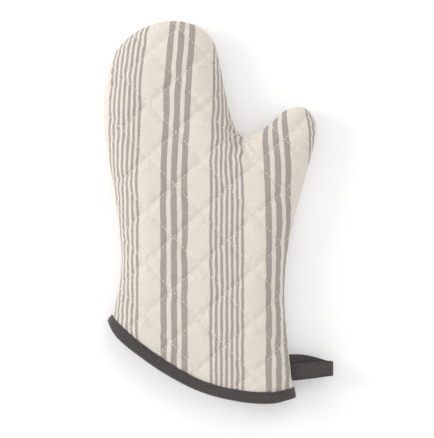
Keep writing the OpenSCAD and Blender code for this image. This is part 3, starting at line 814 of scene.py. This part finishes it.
# ---- runs of stitching -------------------------------------------------
# A stitch is a small capsule: its rings' places and sizes, how deep it lies, how far it strays and how flat it is
STITCH_SIDES = 6
STITCH_AT, STITCH_SIZE = np.array([0.0, 0.16, 0.5, 0.84, 1.0]), np.array([0.45, 0.9, 1.0, 0.9, 0.45])
STITCH_SUNK, STITCH_STRAY, STITCH_FLAT = 0.12, 0.05, 0.8


def stitches(name, paths, long=2.7, gap=0.9, radius=0.29, rise=0.28, seed=3):
    """Separate small stitches along paths of (points, normals), as one mesh."""
    r = np.random.default_rng(seed)
    verts, faces = [], []
    sides, rings = STITCH_SIDES, len(STITCH_AT)
    for points, normals in paths:
        step = np.linalg.norm(np.diff(points, axis=0), axis=1)
        at = np.concatenate([[0], np.cumsum(step)])
        for k in range(int(at[-1] / (long + gap))):
            s0 = k * (long + gap) + 0.5 * gap
            s = s0 + STITCH_AT * long * r.uniform(0.93, 1.0)
            c = np.stack([np.interp(s, at, points[:, i]) for i in range(3)], 1)
            n = unit(np.stack([np.interp(s, at, normals[:, i]) for i in range(3)], 1))
            along = unit(np.broadcast_to(c[-1] - c[0], c.shape))
            side = unit(np.cross(along, n))
            n = np.cross(side, along)
            arch = np.sin(math.pi * STITCH_AT) * rise - STITCH_SUNK
            c = c + n * arch[:, None] + side * r.normal(0, STITCH_STRAY)
            size = radius * STITCH_SIZE
            base = len(verts)
            for i in range(rings):
                for j in range(sides):
                    a = 2 * math.pi * j / sides
                    verts.append(c[i] + size[i] * (math.cos(a) * side[i] + STITCH_FLAT * math.sin(a) * n[i]))
            for i in range(rings - 1):
                q = base + i * sides
                for j in range(sides):
                    faces.append([q + j, q + (j + 1) % sides, q + sides + (j + 1) % sides, q + sides + j])
            faces.append([base + j for j in range(sides)][::-1])
            faces.append([base + (rings - 1) * sides + j for j in range(sides)])
    return make(name, np.array(verts), faces)


def project(tree, xy, side):
    """Plan points dropped on to a skin, with its outward normals there; None if one misses it."""
    points, normals = [], []
    for x, y in xy:
        hit, n, _, _ = tree.ray_cast(Vector((x, y, SEAM_Z + side * 80)), Vector((0, 0, -side)))
        if hit is None:
            return None
        points.append(hit)
        normals.append(n * (1 if n.z * side > 0 else -1))
    return np.array(points), np.array(normals)


# The lines are sampled every RUN_STEP over this reach, clear of the seam and of the binding, and a run of
# RUN_LEAST samples or fewer is left out
RUN_STEP, RUN_REACH, RUN_LEAST = 0.7, 230, 7
SEAM_CLEAR, CUFF_CLEAR = 1.6, 0.6


def quilting_runs(face, side):
    """The unbroken runs of quilting on one skin, for the main part and for the thumb."""
    v, tri = SKINS[face]
    tree = BVHTree.FromPolygons([Vector(q) for q in v], [tuple(map(int, f)) for f in tri])
    runs = {"main": [], "thumb": []}
    inside = np.vstack([SIDE, CUFF_FINE[::-1]])
    for along, square, pitch, shift in FAMILIES:
        for n in range(-8, 9):
            q = square * (shift + n * pitch) + np.arange(-RUN_REACH, RUN_REACH, RUN_STEP)[:, None] * along
            ok = within(q, inside) & (seam_distance(q)[0] > SEAM_CLEAR) & (above_cuff(q) > CUFF_CLEAR)
            far = thumb_side(q)
            for part, mask in (("main", ok & ~far), ("thumb", ok & far)):
                cuts = np.flatnonzero(np.diff(np.concatenate([[0], mask.astype(int), [0]])))
                for a, b in zip(cuts[::2], cuts[1::2]):
                    if b - a > RUN_LEAST:
                        run = project(tree, q[a:b], side)
                        if run is not None:
                            runs[part].append(run)
    return runs


for face, (side, _) in FACES.items():
    for part, runs in quilting_runs(face, side).items():
        o = stitches(f"{face}_quilting_{part}", runs, seed=5 + side)
        finish_piece(o, CREAM_THREAD, [f"{b}_{face}_quilting" for b in BODIES[part]], BENDS[part])

SEAM_INSET = 3.0


def seam_path(s0, s1):
    """The run of side-seam stitching between two places on the seam, inside the mitt."""
    s = np.linspace(s0, s1, int((s1 - s0) * 12))
    q = spline(SEAM, s) + SEAM_INSET * inward(s)
    return np.column_stack([q, np.full(len(q), SEAM_Z)]), np.tile([0.0, 0.0, 1.0], (len(q), 1))


for part, spans in (("main", [(0.2, 17.6), (28.4, 31.9)]), ("thumb", [(18.5, 27.6)])):
    o = stitches(f"seam_thread_{part}", [seam_path(*span) for span in spans],
                 long=2.4, gap=0.5, radius=0.25, rise=0.0)
    finish_piece(o, CREAM_THREAD, [f"{b}_seam_thread" for b in BODIES[part]], BENDS[part])


# ---- cuff binding ------------------------------------------------------
FAR_BELOW = -300
SIDE_LOOP = np.vstack([SIDE, [[SIDE[-1][0], FAR_BELOW], [SIDE[0][0], FAR_BELOW]]])
MOUTH_END = 1e-6


def band(u, w, t, side):
    """Points of the cuff band: u across the mouth, w up from its edge, t deep."""
    up = (w / BAND_W)[:, None]
    p = spline(CUFF_EDGE, u * CUFF_END) * (1 - up) + spline(CUFF_LINE, u * CUFF_END) * up
    q = p + t[:, None] * slide(u)
    d, _ = seam_distance(q)
    d = np.where(within(q, SIDE_LOOP), d, -d)
    gap = np.where((u < MOUTH_END) | (u > 1 - MOUTH_END), 0, np.maximum(d - t, 0))
    return np.column_stack([q, height(q, gap + t, t, side)])


# The row of stitching: how far up the band, and how far out from the cloth
ROW_UP, ROW_OUT = BAND_W - 1.6, 0.95
# The tape's section as (w, t): out over the outer cloth, round the edge, and in over the lining
LEG = [(BAND_W - 0.1, 0.0), (BAND_W + 0.3, -0.4), (BAND_W + 0.05, -0.95), (BAND_W - 0.9, -1.15),
       (ROW_UP, -0.92), (BAND_W - 2.3, -1.15), (BAND_W - 4.6, -1.3), (3.2, -1.25), (1.4, -1.0),
       (0.45, -0.25), (0.05, 0.9), (0.0, PANEL_T / 2)]
PROFILE = LEG + [(w, PANEL_T - t) for w, t in LEG[-2::-1]]
PROFILE += [(1.3, PANEL_T + 0.1), (1.05, PANEL_T - 0.5), (1.05, 0.5), (1.3, -0.1)]
COLUMNS = 120
ARC_AT = 5.0  # the tape's length is measured this far up the band
DIAGONAL = 0.7071  # the tape is cut on the bias
u_half = (1 - np.cos(math.pi * np.arange(COLUMNS + 1) / COLUMNS)) / 2
ring_u = np.concatenate([u_half, u_half[::-1]])
ring_side = np.concatenate([np.ones(COLUMNS + 1), -np.ones(COLUMNS + 1)])
level, zero = np.full(COLUMNS + 1, ARC_AT), np.zeros(COLUMNS + 1)
ring_at = np.vstack([band(u_half, level, zero, 1), band(u_half[::-1], level, zero, -1)])
ring_arc = np.concatenate([[0], np.cumsum(np.linalg.norm(np.diff(ring_at, axis=0), axis=1))])
cockle, fine_cockle = waves(91, 7), waves(92, 3)


def ring_points(w, t):
    """One closed row of the tape round the mouth, slightly cockled."""
    out = 1 if t < PANEL_T / 2 else -1
    w0 = np.full(len(ring_u), float(w)) + 0.14 * cockle(ring_arc, w * 2) * min(1, w / 3)
    ripple = 0.16 * cockle(ring_arc + 40 * out, w) + 0.07 * fine_cockle(ring_arc, w)
    t0 = np.full(len(ring_u), float(t)) - out * ripple
    return np.vstack([band(ring_u[m], w0[m], t0[m], s) for s in (1, -1) for m in [ring_side == s]])


def closed_sweep(name, rows, uvs):
    """rows: one closed run of points for each point of the section, wrapped both ways."""
    m, k = len(rows), len(rows[0])
    faces = [[i * k + j, i * k + (j + 1) % k, ((i + 1) % m) * k + (j + 1) % k, ((i + 1) % m) * k + j]
             for i in range(m) for j in range(k)]
    return make(name, np.vstack(rows), faces, uvs)


girth = np.concatenate([[0], np.cumsum(np.linalg.norm(np.diff(np.array(PROFILE), axis=0), axis=1))])
binding_uv = np.vstack([np.column_stack([(ring_arc + g) * DIAGONAL, (g - ring_arc) * DIAGONAL]) for g in girth])
binding = closed_sweep("cuff_binding_tape", [ring_points(w, t) for w, t in PROFILE], binding_uv)
finish_piece(binding, TAPE, ["cuff_binding"], body="hand")

paths = []
for t, out in ((-ROW_OUT, 1), (PANEL_T + ROW_OUT, -1)):
    row, inner = ring_points(ROW_UP, t), ring_points(ROW_UP, t + 0.6 * out)
    paths.append((row, unit(row - inner)))
o = stitches("binding_stitches", paths, long=2.6, gap=0.7, radius=0.22, rise=0.16, seed=9)
finish_piece(o, DARK_THREAD, ["binding_stitching"], body="hand")

# ---- hanging loop ------------------------------------------------------
# The tape runs out from the seam below, round a fold at its far end and back to the seam above
LOOP_LO, LOOP_HI = node_box("hanging_loop")
TAPE_T = 1.6
LEG_RISE = (LOOP_HI[2] - LOOP_LO[2]) / 2 - TAPE_T / 2
FOLD_X = LOOP_HI[0] - LEG_RISE - TAPE_T / 2
Y0 = LOOP_LO[1]
UPPER_ROOT, LOWER_ROOT, FAR = (Y0, Y0 + 13.6), (Y0 + 10.1, LOOP_HI[1]), (Y0 + 4.4, Y0 + 17.2)
# The roots start this far inside the seam and this far above or below it
ROOT_IN, ROOT_RISE = 4.0, 0.9
LOOP_WIDE, FACES_APART = 13, 30  # the tape's width, and how far apart its two faces lie in the pattern
LUMPS_FROM, LUMPS_RUN = 66, 8
SECTION = [(0.0, -0.35), (0.03, -0.95), (0.25, -1.0), (0.5, -0.97), (0.75, -1.0), (0.97, -0.95), (1.0, -0.35),
           (1.0, 0.35), (0.97, 0.95), (0.75, 1.0), (0.5, 0.97), (0.25, 1.0), (0.03, 0.95), (0.0, 0.35)]


def seam_x(y):
    x, at = spline(SEAM, [SEAM_END - 0.1, SEAM_END - 1, SEAM_END - 2]).T
    return float(np.interp(y, at, x))


def loop_station(k, e, g):
    """k runs 0..1 out along the lower leg, 1..2 round the fold and 2..3 back along the upper leg.
    e runs 0..1 across the tape, and g -1..1 through its thickness."""
    if k <= 1 or k >= 2:
        way, root, w = (-1, LOWER_ROOT, k) if k <= 1 else (1, UPPER_ROOT, 3 - k)
        y0, y1 = (root[i] + (FAR[i] - root[i]) * w for i in (0, 1))
        if way < 0:
            y1 += 2.0 * math.sin(math.pi * w) ** 1.2
            y0 += 1.0 * math.sin(math.pi * w)
        else:
            y1 += 0.5 * math.sin(math.pi * w)
            y0 -= 0.3 * math.sin(math.pi * w)
        y = y0 + (y1 - y0) * e
        start = seam_x(y) - ROOT_IN
        x = start + (FOLD_X - start) * w
        rise = ROOT_RISE + (LEG_RISE - ROOT_RISE) * math.sin(math.pi / 2 * min(1, max(0, w - 0.1) * 1.7))
        cup = 0.35 * math.sin(math.pi * e) * math.sin(math.pi * w)
        return (x, y, SEAM_Z + way * (rise + cup) + way * g * TAPE_T / 2)
    a = math.pi * (k - 1.5)
    r = LEG_RISE + g * TAPE_T / 2
    y = FAR[0] + (FAR[1] - FAR[0]) * e
    return (FOLD_X + r * math.cos(a) * (1 - 0.05 * (2 * e - 1) ** 4), y, SEAM_Z + r * math.sin(a))


ks = np.concatenate([np.linspace(0, 1, 15), np.linspace(1, 2, 13)[1:], np.linspace(2, 3, 15)[1:]])
loop_v = np.array([loop_station(k, e, g) for k in ks for e, g in SECTION])
m = len(SECTION)
faces = [[i * m + j, i * m + (j + 1) % m, (i + 1) * m + (j + 1) % m, (i + 1) * m + j]
         for i in range(len(ks) - 1) for j in range(m)]
faces += [list(range(m))[::-1], [(len(ks) - 1) * m + j for j in range(m)]]
mid = np.array([loop_station(k, 0.5, 0) for k in ks])
loop_long = np.concatenate([[0], np.cumsum(np.linalg.norm(np.diff(mid, axis=0), axis=1))])
around = np.array([e * LOOP_WIDE + (0 if g < 0 else FACES_APART) for e, g in SECTION])
loop_uv = np.array([((s + c) * DIAGONAL, (c - s) * DIAGONAL) for s in loop_long for c in around])
# The tape's lumps begin where it leaves the seam
lumps = 0.14 * waves(77, 4.5)(loop_v[:, 0], loop_v[:, 1])
loop_v[:, 2] += lumps * np.clip((loop_v[:, 0] - LUMPS_FROM) / LUMPS_RUN, 0, 1)
loop = make("hanging_loop_tape", loop_v, faces, loop_uv)


def bend_loop(o):
    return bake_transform(o)


finish_piece(loop, TAPE, ["hanging_loop", "loop_seam_ends"], bend_loop)
paths = []
for e in (0.1, 0.9):
    for g in (1.0, -1.0):
        row, inner = (np.array([loop_station(k, e, h) for k in np.linspace(0.16, 2.84, 220)]) for h in (g, 0))
        paths.append((row, unit(row - inner)))
o = stitches("loop_stitches", paths, long=2.4, gap=0.7, radius=0.2, rise=0.14, seed=15)
finish_piece(o, DARK_THREAD, ["loop_stitching"], bend_loop)


# ---- floor, light and camera -------------------------------------------
FLOOR_HALF = 3.0  # metres
FLOOR_GLOW = 0.1  # lifts the floor to the photo's white
WORLD_LIGHT = 0.86
AIM = (0, 0, 0.02)


def floor_material():
    n = Nodes("pale_floor")
    n.bsdf.inputs["Base Color"].default_value = (0.93, 0.93, 0.93, 1)
    n.bsdf.inputs["Roughness"].default_value = 0.9
    n.bsdf.inputs["Emission Color"].default_value = (1, 1, 1, 1)
    n.bsdf.inputs["Emission Strength"].default_value = FLOOR_GLOW
    return n.m


corners = [(-1, -1, 0), (1, -1, 0), (1, 1, 0), (-1, 1, 0)]
floor = make("floor", np.array(corners) * FLOOR_HALF * 1000, [[0, 1, 2, 3]])
floor.data.materials.append(floor_material())


def area_light(name, place, size, power):
    """A round soft light at place, aimed at the mitt."""
    light = bpy.data.lights.new(name, "AREA")
    light.shape, light.size, light.energy = "DISK", size, power
    o = bpy.data.objects.new(name, light)
    o.location = place
    o.rotation_euler = (Vector(AIM) - Vector(place)).to_track_quat("-Z", "Y").to_euler()
    bpy.context.scene.collection.objects.link(o)


area_light("key", (-1.25, 0.3, 0.62), 0.7, 8)
area_light("fill", (0.5, 0.9, 1.3), 1.2, 2.5)
world = bpy.data.worlds.new("studio")
world.use_nodes = True
background = world.node_tree.nodes["Background"].inputs
background[0].default_value = (1, 1, 1, 1)
background[1].default_value = WORLD_LIGHT
bpy.context.scene.world = world
bpy.context.scene.view_settings.view_transform = "Standard"

# The camera looks straight down; at the seam's level its frame is FRAME_TALL metres on the long side
HIGH, FRAME_TALL, SENSOR = 1.6, 0.3784, 36.0
camera = bpy.data.cameras.new("camera")
camera.sensor_fit = "AUTO"
camera.sensor_width = SENSOR
camera.lens = SENSOR * (HIGH - SEAM_Z * MM) / FRAME_TALL
camera.clip_end = 10
cam = bpy.data.objects.new("camera", camera)
cam.location = (-0.00108, -0.00648, HIGH)
cam.rotation_euler = (0, 0, 0)
bpy.context.scene.collection.objects.link(cam)
bpy.context.scene.camera = cam
